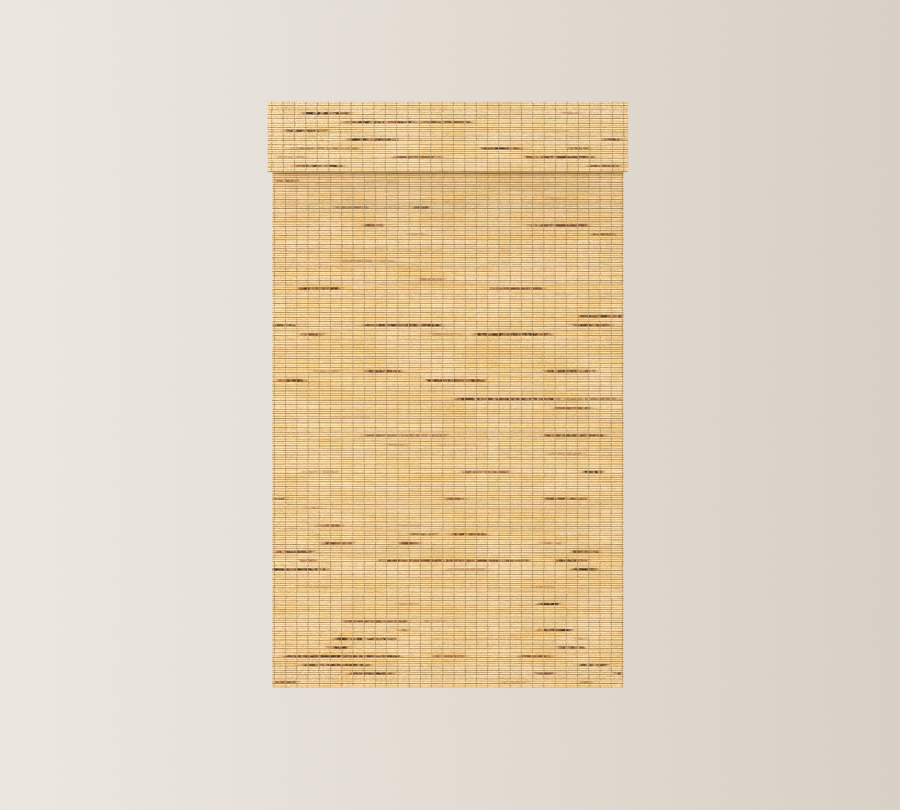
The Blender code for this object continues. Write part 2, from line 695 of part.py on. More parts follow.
def pawl(name, turn, surface):
    """A pawl, shown swung clear of the ratchet, with its origin on its pivot."""
    pivot = Vector((0.0, PAWL_PIVOT_RADIUS))
    nose = Vector((cos(NOSE_ANGLE), sin(NOSE_ANGLE))) * NOSE_RADIUS
    along = (nose - pivot).normalized()
    side = Vector((-along.y, along.x)) * PAWL_HALF
    length = (nose - pivot).length
    hug = asin(PAWL_HALF / PAWL_HUB_RADIUS)
    heading = atan2(along.y, along.x)
    hub = arc((0, 0), PAWL_HUB_RADIUS, heading + hug, heading + tau - hug, 18)
    tip = [along * length - side, along * length + side]
    outline = hub + [(point.x, point.y) for point in tip]
    swung = [turned_point(point, turn - PAWL_OPEN) for point in outline]
    y, z = turned_point(tuple(pivot), turn)
    at = (RECESS_X + RECESS_DEPTH / 2, AXIS_Y + y, AXIS_Z + z)
    loops = [swung, circle(PAWL_PIN_RADIUS + SEAT_GAP, 16)]
    return plate("pawl_" + name, loops, RATCHET_THICKNESS, at, ALONG_X, surface)


# Sprung pin of the idle end


def idle_pin(surface):
    """The pin that turns in the bracket's bush, with its head inside the plug."""
    head_top = 0.0
    tip = HEADRAIL_X - END_X
    profile = [
        (0.0, tip),
        (PIN_RADIUS * 0.8, tip),
        (PIN_RADIUS, tip - PIN_RADIUS * 0.2),
        (PIN_RADIUS, head_top),
        (PIN_HEAD_RADIUS, head_top),
        (PIN_HEAD_RADIUS, -PIN_HEAD_LENGTH),
        (0.0, -PIN_HEAD_LENGTH),
    ]
    return turned("idle_pin", profile, (-END_X, AXIS_Y, AXIS_Z), surface, (-1, 0, 0), steps=24)


def pin_spring(surface):
    margin = SEAT_GAP + PIN_SPRING_WIRE
    first = -END_X + PIN_HEAD_LENGTH + margin
    last = -END_X + PIN_BORE_DEPTH - margin
    points = coil(first, last, PIN_SPRING_RADIUS, PIN_SPRING_TURNS, 10)
    return wire("pin_spring", points, PIN_SPRING_WIRE, surface)


# Fabric, valance and hem


def fold_loop(front_y, top_z, bottom_z, pocket, fold_height):
    """A sheet seen from its side: down the front, round the bottom and up behind a pocket."""
    inner = pocket / 2
    outer = inner + WEAVE_THICKNESS
    centre = (front_y + outer, bottom_z + outer)
    loop = [(front_y, top_z), *arc(centre, outer, pi, tau, 12)]
    loop += [(centre[0] + outer, bottom_z + fold_height), (centre[0] + inner, bottom_z + fold_height)]
    loop += [*arc(centre, inner, tau, pi, 12), (centre[0] - inner, top_z)]
    return loop, centre


VALANCE_FRONT_Y = VALANCE_BACK_Y - WEAVE_THICKNESS
VALANCE_BOTTOM_Z = -VALANCE_DROP - VALANCE_HEIGHT
VALANCE_POCKET = VALANCE_BATTEN_THICKNESS + 2 * SEAT_GAP
HEM_FRONT_Y = PANEL_Y - WEAVE_THICKNESS / 2
HEM_BOTTOM_Z = HEM_TOP_Z - HEM_HEIGHT
BAR_CAP_THICKNESS = BAR_THICKNESS + 2 * (SEAT_GAP + BAR_CAP_WALL)
HEM_POCKET = BAR_CAP_THICKNESS + 2 * SEAT_GAP


def valance(surface):
    top = -VALANCE_DROP
    loop, _ = fold_loop(VALANCE_FRONT_Y, top, VALANCE_BOTTOM_Z, VALANCE_POCKET, VALANCE_FOLD)
    return plate("valance", [loop], BLIND_WIDTH, (0, 0, 0), ALONG_X, surface)


def valance_batten(surface):
    _, (y, z) = fold_loop(VALANCE_FRONT_Y, 0, VALANCE_BOTTOM_Z, VALANCE_POCKET, VALANCE_FOLD)
    half_x, half_y = BLIND_WIDTH / 2 - BATTEN_INSET, VALANCE_BATTEN_THICKNESS / 2
    high = (half_x, y + half_y, z + VALANCE_BATTEN_HEIGHT)
    return block("valance_batten", (-half_x, y - half_y, z), high, surface)


def valance_tapes(loop_surface, hook_surface):
    """The two halves of the fastening between the headrail and the valance."""
    half_x = HEADRAIL_X - TAPE_INSET
    top = -(HEADRAIL_THICKNESS - TAPE_HEIGHT) / 2
    back_y = FRONT_Y - SEAT_GAP
    for name, surface in (("loop_tape", loop_surface), ("hook_tape", hook_surface)):
        low = (-half_x, back_y - TAPE_THICKNESS, top - TAPE_HEIGHT)
        block(name, low, (half_x, back_y, top), surface)
        back_y -= TAPE_THICKNESS + SEAT_GAP


def fabric_panel(surface):
    """The stretch at the roller that stays put, and the drop that rolls up."""
    low_y, high_y = PANEL_Y - WEAVE_THICKNESS / 2, PANEL_Y + WEAVE_THICKNESS / 2
    block("fabric_lead", (-END_X, low_y, LEAD_Z), (END_X, high_y, AXIS_Z), surface)
    low = (-END_X, low_y, HEM_TOP_Z + SEAT_GAP)
    block("fabric_drop", low, (END_X, high_y, LEAD_Z - SEAT_GAP), surface)


def hem_fold(surface):
    loop, _ = fold_loop(HEM_FRONT_Y, HEM_TOP_Z, HEM_BOTTOM_Z, HEM_POCKET, HEM_FOLD)
    return plate("hem_fold", [loop], PANEL_WIDTH, (0, 0, 0), ALONG_X, surface)


def weight_bar_and_caps(bar_surface, cap_surface):
    """The flat bar in the hem, with a plastic cap on each end."""
    _, (y, z) = fold_loop(HEM_FRONT_Y, 0, HEM_BOTTOM_Z, HEM_POCKET, HEM_FOLD)
    cap_end = END_X - BAR_INSET
    bar_end = cap_end - BAR_CAP_WALL - SEAT_GAP
    bar_low = z + BAR_CAP_WALL + SEAT_GAP
    half = BAR_THICKNESS / 2
    high = (bar_end, y + half, bar_low + BAR_HEIGHT)
    block("weight_bar", (-bar_end, y - half, bar_low), high, bar_surface)
    cap_half = BAR_CAP_THICKNESS / 2
    cap_high = bar_low + BAR_HEIGHT + SEAT_GAP + BAR_CAP_WALL
    for name, side in (("left", -1), ("right", 1)):
        ends = sorted((side * cap_end, side * (cap_end - BAR_CAP_REACH)))
        cap = block(
            "bar_cap_" + name,
            (ends[0], y - cap_half, z),
            (ends[1], y + cap_half, cap_high),
            cap_surface,
        )
        socket = sorted((side * (cap_end - BAR_CAP_WALL), side * (cap_end - BAR_CAP_REACH - THROUGH)))
        low = (socket[0], y - half - SEAT_GAP, bar_low - SEAT_GAP)
        milled(cap, low, (socket[1], y + half + SEAT_GAP, bar_low + BAR_HEIGHT + SEAT_GAP))


def build_blind():
    woven = material("woven_wood", STRAW, 0.75)
    pine = material("pine", PINE, 0.6)
    white = material("white_plastic", WHITE, 0.45)
    tape = material("fastening_tape", WHITE, 0.9)
    zinc = material("zinc_steel", ZINC, 0.35, 1.0)
    bright = material("bright_steel", BRIGHT_STEEL, 0.3, 1.0)
    spring = material("spring_steel", SPRING_STEEL, 0.35, 1.0)
    grey = material("grey_plastic", GREY, 0.5)
    brass = material("brass", BRASS, 0.3, 1.0)

    headrail_board(pine)
    idle_bracket(zinc)
    spear_bracket(zinc)
    bracket_bush(white)
    for name, (x, y) in screw_places().items():
        bracket_screw("bracket_screw_" + name, x, y, zinc)
    valance(woven)
    valance_batten(pine)
    valance_tapes(tape, tape)

    spear_shaft(bright)
    ratchet_wheel(bright)
    spring_collar(grey)
    collar_pin(bright)
    lift_spring(spring)

    roller_tube(zinc)
    fabric_spline(white)
    fabric_wraps(woven)
    spring_end_plug(grey)
    plug_cover(zinc)
    shaft_bush(brass)
    spring_drive_plug(grey)
    idle_end_plug(grey)
    idle_plug_cap(zinc)
    end_pins(bright)
    for name, turn, _ in pawl_pivots():
        pawl(name, turn, bright)
    idle_pin(bright)
    pin_spring(spring)

    fabric_panel(woven)
    hem_fold(woven)
    weight_bar_and_caps(zinc, grey)


build_blind()
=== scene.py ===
"""The looks of a woven-wood spring roller blind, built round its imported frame.

Metres; X runs along the width, -Y is the room side and +Z is up.
"""
import json
from math import pi, radians, tau

import bpy
import numpy as np
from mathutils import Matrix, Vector


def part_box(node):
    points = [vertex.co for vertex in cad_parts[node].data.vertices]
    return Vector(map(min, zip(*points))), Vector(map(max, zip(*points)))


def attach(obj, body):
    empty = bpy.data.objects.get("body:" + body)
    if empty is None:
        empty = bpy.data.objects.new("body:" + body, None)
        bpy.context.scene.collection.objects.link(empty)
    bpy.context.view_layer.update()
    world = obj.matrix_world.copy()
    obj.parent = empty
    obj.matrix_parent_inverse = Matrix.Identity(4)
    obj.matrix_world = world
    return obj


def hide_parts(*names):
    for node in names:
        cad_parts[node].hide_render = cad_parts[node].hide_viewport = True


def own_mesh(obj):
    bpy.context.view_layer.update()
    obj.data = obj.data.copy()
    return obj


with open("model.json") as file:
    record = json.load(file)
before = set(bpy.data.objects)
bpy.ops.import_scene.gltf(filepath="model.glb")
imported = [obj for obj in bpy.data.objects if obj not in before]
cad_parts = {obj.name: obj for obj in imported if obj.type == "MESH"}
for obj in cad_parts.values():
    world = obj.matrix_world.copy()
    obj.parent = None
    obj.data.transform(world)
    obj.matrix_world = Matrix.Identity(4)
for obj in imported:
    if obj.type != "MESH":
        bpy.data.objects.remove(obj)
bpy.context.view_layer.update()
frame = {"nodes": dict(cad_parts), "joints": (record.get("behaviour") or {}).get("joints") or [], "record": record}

# Camera and studio
EYE_DISTANCE = 5.93  # from the valance's face
EYE_ASIDE = 0.0048
EYE_BELOW_TOP = 0.678
LENS = 106.0
WALL_TONE = (0.753, 0.694, 0.631, 1.0)
WALL_LEFT = (0.839, 0.799, 0.745, 1.0)
WALL_RIGHT = (0.686, 0.631, 0.565, 1.0)
AMBIENT = 0.26
FLOOR_TONE = (0.74, 0.69, 0.63)
FLOOR_Z = -2.6
FLOOR_HALF = 6.0

# The weave
THREAD_SPACING = 0.0254
THREAD_RADIUS = 0.00030
THREAD_APART = 0.00034  # each thread of a pair, from their middle
THREAD_STATIONS = 3  # points on a thread for each reed
REED_STATIONS = 8
REED_LAP = 0.00006  # a reed's edge tucks this far behind its neighbour's
STRETCH_LAP = 0.00035  # how far the drop runs over the lead and the hem, so no light shows
THREAD_BENDS = ((0.00016, 0.11), (0.00012, 2.1))  # a slow and a quick bend: how far, turn a reed
REED_THICKNESS = (0.00150, 0.00185)
THICKNESS_WANDER = 0.00005  # along one reed
REED_SHIFT = 0.00008  # how far a reed sits in front of its line or behind it
REED_END_TRIM = 0.0012  # the most that a reed's ends stop short of the edge
REED_PITCH = 0.00508
VALANCE_PITCH = 0.00485
VALANCE_FIRST = 0.55  # the valance's top reed is cut along its length
DROP_FIRST = 1.28
DROP_SWELL = 0.031
HEIGHT_SPREAD = 0.10
PAIR_SHARE = 0.06  # the first reed of a pair is taller by this, and the second shorter
STREAK_EVERY = 4
STREAK_EXTRA = 0.16  # a streaked reed is taller by this
EDGE_WANDER = 0.00018

# A reed seen from its end: how far across it each point lies, and how deep
ACROSS = np.array([-1.0, -0.80, 0.0, 0.80, 1.0, 0.80, 0.0, -0.80])
DEPTH = np.array([0.0, 0.78, 1.0, 0.78, 0.0, -0.78, -1.0, -0.78])

# Dark streaks: which streaked reed from the top, from and to in cm from the left edge, depth
VALANCE_STREAKS = [
    (0, 7.5, 18.5, 0.9), (0, 66, 70, 0.35),
    (1, 17, 33, 0.95), (1, 34, 46, 0.55),
    (2, 4, 13.5, 0.65), (2, 62, 67, 0.2),
    (3, 18, 28.5, 0.95), (3, 75.3, 79.2, 0.7),
    (4, 6.5, 20.5, 0.4), (4, 48, 56.5, 0.85), (4, 67, 72.5, 0.55),
    (5, 3, 8.5, 0.3), (5, 28, 39, 0.5), (5, 57.5, 73, 0.65),
    (6, 6, 17, 0.8), (6, 72, 79, 0.6),
]
DROP_STREAKS = [
    (0, 0.5, 6.5, 0.45), (0, 20, 28, 0.2),
    (2, 61.5, 65.5, 0.2),
    (3, 14, 22, 0.4), (3, 25.5, 28.5, 0.25), (3, 32, 35.5, 0.6),
    (5, 2, 8, 0.15), (5, 21, 25, 0.9), (5, 58, 71.5, 0.55),
    (6, 30.5, 35, 0.25), (6, 72.5, 78, 0.55),
    (8, 3.5, 17.5, 0.15),
    (9, 15, 28, 0.3),
    (11, 14.5, 23, 0.15), (11, 33, 39, 0.35),
    (12, 6, 15.5, 0.85), (12, 49.5, 61.5, 0.6),
    (15, 69.5, 79.3, 0.9),
    (16, 0, 5.5, 0.6), (16, 20.5, 38.5, 0.95), (16, 68, 76.5, 0.7),
    (17, 6.5, 11.5, 0.5), (17, 35.5, 42.5, 0.3), (17, 46, 63, 0.9),
    (21, 9.5, 15.5, 0.3), (21, 21, 29, 0.65), (21, 62, 73, 0.6),
    (22, 1.5, 7.5, 0.75), (22, 35, 48, 0.9),
    (24, 41.5, 65, 0.7), (24, 66, 79, 0.4),
    (25, 63.5, 72, 0.5),
    (26, 13.5, 22, 0.2),
    (28, 20, 39.5, 0.4), (28, 61.5, 75.5, 0.55),
    (29, 26, 31, 0.3), (29, 37, 47, 0.2),
    (30, 63, 71, 0.3),
    (32, 7, 15, 0.3), (32, 43, 54, 0.45), (32, 70.5, 74.5, 0.9),
    (35, 0, 3.5, 0.6), (35, 39.5, 44, 0.5), (35, 61.5, 71, 0.55),
    (36, 7, 10.5, 0.3),
    (38, 10, 16, 0.5), (38, 28, 34, 0.25),
    (39, 31.5, 37, 0.65), (39, 40, 48.5, 0.75),
    (40, 11, 18.5, 0.6), (40, 28.5, 33.5, 0.6), (40, 61, 66, 0.35),
    (41, 0.5, 9.5, 0.6), (41, 68, 73.5, 0.85),
    (42, 6, 10, 0.4), (42, 24, 58, 0.65), (42, 64, 71.5, 0.7),
    (43, 0, 12.5, 1.0), (43, 40, 48.5, 0.3), (43, 68, 73, 0.9),
    (45, 7, 13, 0.2), (45, 59.5, 64, 0.25),
    (47, 29, 33, 0.3), (47, 60.5, 65, 0.9),
    (49, 16.5, 31, 0.5), (49, 33.5, 39.5, 0.3),
    (50, 28.5, 31, 0.4), (50, 60.5, 67.5, 0.85),
    (51, 14, 27.5, 0.95), (51, 36, 57, 0.2), (51, 68.5, 71, 0.35),
    (52, 13, 17.5, 0.7), (52, 65, 70.5, 0.65),
    (53, 3, 29, 0.9), (53, 36.5, 44, 0.45), (53, 56, 63, 0.55),
    (54, 6, 22, 0.7), (54, 69.5, 75.5, 0.7),
    (55, 17.5, 27.5, 0.75), (55, 59.5, 64, 0.5), (55, 77.5, 79.2, 0.6),
]
HEM_STREAKS = [(0, 0, 6, 0.5), (0, 51.5, 59, 0.25), (0, 69.5, 72, 0.4)]

# Colours
STRAW = (0.86, 0.62, 0.33)
CREAM = (0.91, 0.73, 0.49)
HONEY = (0.82, 0.56, 0.21)
BLUSH = (0.9, 0.62, 0.42)
SAGE = (0.78, 0.66, 0.31)
AMBER = (0.66, 0.33, 0.085)
RUST = (0.33, 0.115, 0.030)
UMBER = (0.040, 0.012, 0.004)
# Dark reed edges: partly the reeds' own darker edge, partly painted shade in the gaps between reeds
EDGE_AND_GAP_SHADE_TONE = (0.17, 0.095, 0.018)
# Painted shadow that each thread casts on the reed beside it
THREAD_SHADOW_TONE = (0.14, 0.09, 0.022)
THREAD_TONE = (0.42, 0.36, 0.16)
THREAD_PALE = (0.86, 0.76, 0.50)


def camera():
    low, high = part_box("valance")
    data = bpy.data.cameras.new("camera")
    data.lens = LENS
    seen_from = bpy.data.objects.new("camera", data)
    seen_from.location = (EYE_ASIDE, low[1] - EYE_DISTANCE, high[2] - EYE_BELOW_TOP)
    seen_from.rotation_euler = (pi / 2, 0, 0)
    bpy.context.scene.collection.objects.link(seen_from)
    bpy.context.scene.camera = seen_from


camera()


# Shader nodes


class Value:
    """A number that changes over a surface; arithmetic on it adds Math nodes."""

    def __init__(self, finish, socket):
        self.finish, self.socket = finish, socket

    def __add__(self, other):
        return self.finish.math("ADD", self, other)

    __radd__ = __add__

    def __sub__(self, other):
        return self.finish.math("SUBTRACT", self, other)

    def __rsub__(self, other):
        return self.finish.math("SUBTRACT", other, self)

    def __mul__(self, other):
        return self.finish.math("MULTIPLY", self, other)

    __rmul__ = __mul__

    def __abs__(self):
        return self.finish.math("ABSOLUTE", self)

    def wave(self):
        """Its sine, from 0 to 1."""
        return self.finish.math("SINE", self) * 0.5 + 0.5

    def rise(self, start, end):
        """0 up to start, 1 from end on, and a smooth rise between."""
        settings = {"interpolation_type": "SMOOTHSTEP", "clamp": True}
        inputs = {"Value": self, "From Min": start, "From Max": end}
        return Value(self.finish, self.finish.node("ShaderNodeMapRange", settings, inputs).outputs[0])


class Finish:
    """A material, and the calls that add its nodes."""

    def __init__(self, name, **constants):
        self.material = bpy.data.materials.new(name)
        self.material.use_nodes = True
        self.tree = self.material.node_tree
        self.shader = self.tree.nodes["Principled BSDF"]
        for socket, value in constants.items():
            self.shader.inputs[socket.replace("_", " ")].default_value = value

    def node(self, kind, settings, inputs):
        made = self.tree.nodes.new(kind)
        for name, value in settings.items():
            setattr(made, name, value)
        for key, value in inputs.items():
            self.feed(made.inputs[key], value)
        return made

    def feed(self, socket, value):
        value = value.socket if isinstance(value, Value) else value
        if isinstance(value, bpy.types.NodeSocket):
            self.tree.links.new(value, socket)
        else:
            socket.default_value = value

    def wear(self, **looks):
        """Feeds the shader's sockets."""
        for socket, value in looks.items():
            self.feed(self.shader.inputs[socket.replace("_", " ")], value)
        return self.material

    def math(self, operation, first, second=None):
        inputs = {0: first} if second is None else {0: first, 1: second}
        return Value(self, self.node("ShaderNodeMath", {"operation": operation}, inputs).outputs[0])

    def parts(self, vector):
        made = self.node("ShaderNodeSeparateXYZ", {}, {0: vector})
        return [Value(self, made.outputs[i]) for i in range(3)]

    def vector(self, x, y, z):
        return self.node("ShaderNodeCombineXYZ", {}, {0: x, 1: y, 2: z}).outputs[0]

    def attribute(self, name):
        made = self.node("ShaderNodeAttribute", {"attribute_name": name}, {})
        return self.parts(made.outputs["Vector"])

    def place(self):
        return self.parts(self.node("ShaderNodeTexCoord", {}, {}).outputs["Object"])

    def noise(self, x, y, z, detail=2.0, roughness=0.5):
        inputs = {
            "Vector": self.vector(x, y, z),
            "Scale": 1.0,
            "Detail": detail,
            "Roughness": roughness,
        }
        return Value(self, self.node("ShaderNodeTexNoise", {}, inputs).outputs[0])

    def blend(self, amount, first, second, how="MIX"):
        """A colour between two, or another way of joining them."""
        settings = {"data_type": "RGBA", "blend_type": how, "clamp_factor": True}
        inputs = {0: amount}
        for key, colour in ((6, first), (7, second)):
            inputs[key] = (*colour, 1.0) if isinstance(colour, tuple) else colour
        return self.node("ShaderNodeMix", settings, inputs).outputs[2]

    def bump(self, height, depth, strength=1.0):
        inputs = {"Height": height, "Distance": depth, "Strength": strength}
        return self.node("ShaderNodeBump", {}, inputs).outputs[0]


def reed_finish(name, overall_tint, first_thread):
    """Split reeds: straw tones that change where a thread crosses, dark edges that are partly the reeds' own
    colour and partly painted shade in the gaps between them, a painted shadow beside each thread, ragged streaks.
    """
    f = Finish(name, Specular_IOR_Level=0.15)
    along, across, row = f.attribute("reed_place")
    pale, golden, patchy = f.attribute("reed_tone")
    upper, lower, marked = f.attribute("reed_edges")
    crossing = (along - first_thread) * (1 / THREAD_SPACING)
    beside = (crossing - f.math("ROUND", crossing)) * THREAD_SPACING
    cell = f.math("FLOOR", crossing)
    jog = f.noise(f.math("ROUND", crossing) * 3.71 + 0.4, row * 5.33, 2.4, detail=0.0) - 0.5
    beside = beside + jog * 0.0030
    run = f.math("FLOOR", cell * 0.29 + patchy * 9)

    fibre = f.noise(along * 13, across * 1.7 + row * 3.7, row * 1.3, detail=4.0)
    fine = f.noise(along * 90, across * 5 + row * 5.1, row * 2.9, detail=3.0)
    hue = f.noise(run * 5.37, row * 7.73, patchy * 9, detail=0.0)
    tint = f.noise(run * 3.19, row * 11.3, 3.0, detail=0.0)
    quilt = f.noise(cell * 0.23, row * 0.055, 8.0, detail=1.0)

    colour = f.blend(pale, HONEY, STRAW)
    colour = f.blend(golden.rise(0.2, 1.0) * 0.8, colour, CREAM)
    colour = f.blend(hue.rise(0.50, 0.62) * 0.55, colour, CREAM)
    colour = f.blend((1 - hue).rise(0.50, 0.64) * 0.45, colour, HONEY)
    colour = f.blend(tint.rise(0.56, 0.66) * 0.45, colour, BLUSH)
    colour = f.blend((1 - tint).rise(0.50, 0.60) * 0.6, colour, SAGE)
    colour = f.blend(quilt.rise(0.50, 0.66) * 0.5, colour, CREAM)
    colour = f.blend((1 - quilt).rise(0.50, 0.68) * 0.5, colour, HONEY)
    colour = f.blend(fibre.rise(0.35, 0.75) * 0.22, colour, HONEY)
    colour = f.blend(fine.rise(0.60, 0.80) * 0.22, colour, RUST)
    fleck = f.noise(along * 230, across * 0.8, row * 2.1, detail=2.0)
    colour = f.blend(fleck.rise(0.42, 0.66) * 0.30, colour, AMBER)
    colour = f.blend((1 - fleck).rise(0.45, 0.66) * 0.35, colour, CREAM)

    # Darker reed edges, partly the reed's own colour and partly painted shade in the gaps between reeds; a noise
    # varies how dark they are along each reed
    edges = across.rise(0.36, 0.80) * lower + (0 - across).rise(0.36, 0.80) * upper
    patchy_darkening = f.noise(cell * 2.3, row * 3.3, along * 24, detail=1.0)
    colour = f.blend(edges * (0.64 + 0.95 * patchy_darkening), colour, EDGE_AND_GAP_SHADE_TONE)
    # A painted shadow on the reed just beside each thread, as if cast by the thread; a noise shifts it a little
    # row by row
    thread_shadow = beside.rise(0.0001, 0.0004) * (0.0016 - beside).rise(0.0, 0.0004)
    colour = f.blend(thread_shadow * (0.60 + 0.55 * golden), colour, THREAD_SHADOW_TONE)

    ragged = (fine - 0.5) * 0.05 + (fibre - 0.5) * 0.04
    broken = f.noise(along * 170, across * 0.35 + row * 6.1, row * 4.3, detail=2.0, roughness=0.6)
    dark, halo = 0.0, 0.0
    for which in ("streak_a", "streak_b", "streak_c"):
        start, end, depth = f.attribute(which)
        inner = (along - start + ragged).rise(-0.007, 0.005) * (end - along + ragged).rise(-0.007, 0.005)
        outer = (along - start).rise(-0.040, 0.01) * (end - along).rise(-0.040, 0.01)
        dark = inner * depth + dark
        halo = outer * depth + halo
    core = f.noise(along * 60, row * 7.3, 5.0, detail=1.0).rise(0.36, 0.56)
    specks = f.noise(along * 150, row * 9.1, across * 0.4, detail=2.0).rise(0.63, 0.68)
    colour = f.blend(halo * (0.15 + 0.75 * fibre), colour, AMBER)
    colour = f.blend(specks * marked * 0.4, colour, AMBER)
    solid = broken.rise(0.40, 0.50)
    dark = dark * (1 - 0.8 * (0.0010 - abs(beside)).rise(0.0, 0.0004))
    colour = f.blend(dark.rise(0.0, 0.6) * (0.35 + 0.55 * solid), colour, RUST)
    colour = f.blend(dark.rise(0.1, 0.9) * (0.25 + 0.75 * core) * (0.40 + 0.60 * solid), colour, UMBER)
    # The whole copy multiplied by its tint; the panel's tint is a little darker and warmer than the valance's
    colour = f.blend(1.0, colour, overall_tint, "MULTIPLY")
    return f.wear(
        Base_Color=colour,
        Roughness=0.50 + 0.25 * fibre,
        Normal=f.bump(fibre * 0.6 + fine * 0.4, 0.0004, 0.6),
    )


def thread_finish():
    """Cotton warp: two plies twisted round each other, a little fuzzy."""
    f = Finish("warp_thread", Roughness=0.9, Specular_IOR_Level=0.2)
    length, turn, which = f.attribute("thread_place")
    twist = (length * 5200 + turn).wave()
    fuzz = f.noise(length * 900, turn, which * 7, detail=2.0)
    colour = f.blend(twist * 0.45 + fuzz * 0.4, THREAD_TONE, THREAD_PALE)
    return f.wear(Base_Color=colour, Normal=f.bump(twist + fuzz, 0.0001))


def pine_finish():
    """Planed softwood: growth rings stretched along the board."""
    f = Finish("pine_board", Roughness=0.6, Specular_IOR_Level=0.3)
    x, y, z = f.place()
    sway = f.noise(x * 2.5, y * 20, z * 20)
    rings = (y * 620 + z * 240 + sway * 16).wave()
    pores = f.noise(x * 30, y * 900, z * 900, detail=3.0)
    colour = f.blend(rings.rise(0.35, 1.0) * 0.7, (0.70, 0.50, 0.28), (0.48, 0.28, 0.12))
    colour = f.blend(pores.rise(0.5, 0.8) * 0.35, colour, (0.35, 0.20, 0.09))
    return f.wear(Base_Color=colour, Normal=f.bump(rings * 0.4 + pores, 0.0002))


def metal_finish(name, colour, patchy_darkening, roughness, spangle):
    """Plated or drawn steel: a faint mottle, and fine scratches along the width."""
    f = Finish(name, Metallic=1.0)
    x, y, z = f.place()
    mottle = f.noise(x * spangle, y * spangle, z * spangle, detail=3.0)
    scratch = f.noise(x * 90, y * 4000, z * 4000)
    shade = f.blend(mottle.rise(0.35, 0.7) * 0.6, colour, patchy_darkening)
    return f.wear(
        Base_Color=shade,
        Roughness=roughness + 0.12 * mottle + 0.08 * scratch,
        Normal=f.bump(scratch, 0.00005, 0.5),
    )


def moulded_finish(name, colour, dark, grain=1500):
    """Moulded plastic with a fine spark-eroded grain."""
    f = Finish(name, Specular_IOR_Level=0.45)
    x, y, z = f.place()
    speckle = f.noise(x * grain, y * grain, z * grain)
    cloud = f.noise(x * 60, y * 60, z * 60)
    return f.wear(
        Base_Color=f.blend(cloud * 0.4 + speckle * 0.2, colour, dark),
        Roughness=0.42 + 0.2 * speckle,
        Normal=f.bump(speckle, 0.00008, 0.6),
    )


def tape_finish():
    """Hook-and-loop tape: rows of tiny tufts."""
    f = Finish("fastening_tape", Roughness=0.95)
    x, y, z = f.place()
    tufts = (x * 4200).wave() * (z * 4200).wave()
    fuzz = f.noise(x * 1800, y * 1800, z * 1800, detail=3.0)
    colour = f.blend(tufts * 0.6 + fuzz * 0.3, (0.62, 0.60, 0.55), (0.86, 0.85, 0.81))
    return f.wear(Base_Color=colour, Normal=f.bump(tufts + fuzz, 0.0004))


# Mesh builders


class Line:
    """A line in (Y, Z) made of stretches, each with its length and the angle it turns through.

    Its heading grows evenly along each stretch, and its place is the running sum of
    (cos heading, sin heading) times a short step.
    """

    STEP = 0.0002

    def __init__(self, start, heading, stretches):
        lengths, turns = np.array(stretches, float).T
        ends = np.concatenate([[0], np.cumsum(lengths)])
        headings = heading + np.concatenate([[0], np.cumsum(turns)])
        self.length = ends[-1]
        self.along = np.linspace(0, self.length, int(self.length / self.STEP) + 2)
        self.heading = np.interp(self.along, ends, headings)
        middle = (self.heading[1:] + self.heading[:-1]) / 2
        step = np.diff(self.along)
        self.y = start[0] + np.concatenate([[0], np.cumsum(np.cos(middle) * step)])
        self.z = start[1] + np.concatenate([[0], np.cumsum(np.sin(middle) * step)])

    def at(self, where):
        """The place and heading at distances along the line."""
        return [np.interp(where, self.along, kept) for kept in (self.y, self.z, self.heading)]


class Spiral(Line):
    """Wound fabric in (Y, Z): the radius grows evenly with the turn, and it ends heading down.

    Place = centre + radius * (cos turn, sin turn), with the turn falling to 0 at the end.
    """

    def __init__(self, centre, inner, outer, turns):
        turn = np.linspace(tau * turns, 0, int(tau * turns * outer / self.STEP))
        radius = np.linspace(inner, outer, len(turn))
        self.y = centre[0] + radius * np.cos(turn)
        self.z = centre[1] + radius * np.sin(turn)
        self.heading = turn - pi / 2
        step = np.hypot(np.diff(self.y), np.diff(self.z))
        self.along = np.concatenate([[0], np.cumsum(step)])
        self.length = self.along[-1]


def tubes(name, points, finish, attributes):
    """One mesh of closed tubes: points[tube, station, side] is joined along and round, and capped."""
    count, stations, sides, _ = points.shape
    number = np.arange(count * stations * sides).reshape(count, stations, sides)
    after = np.roll(number, -1, axis=2)
    walls = [number[:, :-1], number[:, 1:], after[:, 1:], after[:, :-1]]
    quads = np.stack(walls, axis=-1).reshape(-1, 4).tolist()
    caps = number[:, 0].tolist() + number[:, -1, ::-1].tolist()
    mesh = bpy.data.meshes.new(name)
    mesh.from_pydata(points.reshape(-1, 3), [], quads + caps)
    mesh.shade_smooth()
    mesh.set_sharp_from_angle(angle=radians(62))
    for key, values in attributes.items():
        data = mesh.attributes.new(key, "FLOAT_VECTOR", "POINT").data
        spread = np.broadcast_to(values, points.shape)
        data.foreach_set("vector", np.ascontiguousarray(spread, np.float32).ravel())
    mesh.materials.append(finish)
    made = bpy.data.objects.new(name, mesh)
    bpy.context.scene.collection.objects.link(made)
    return made


def streak_values(count, streaks, first, width):
    """For each reed, up to three streaks as (start, end, depth) in X; depth 0 where it has none."""
    values = np.tile(np.array([9.0, 9.0, 0.0]), (3, count, 1))
    used = np.zeros(count, int)
    for which, start, end, depth in streaks:
        reed = first + STREAK_EVERY * which
        values[used[reed], reed] = (start / 100 - width / 2, end / 100 - width / 2, depth)
        used[reed] += 1
    return values


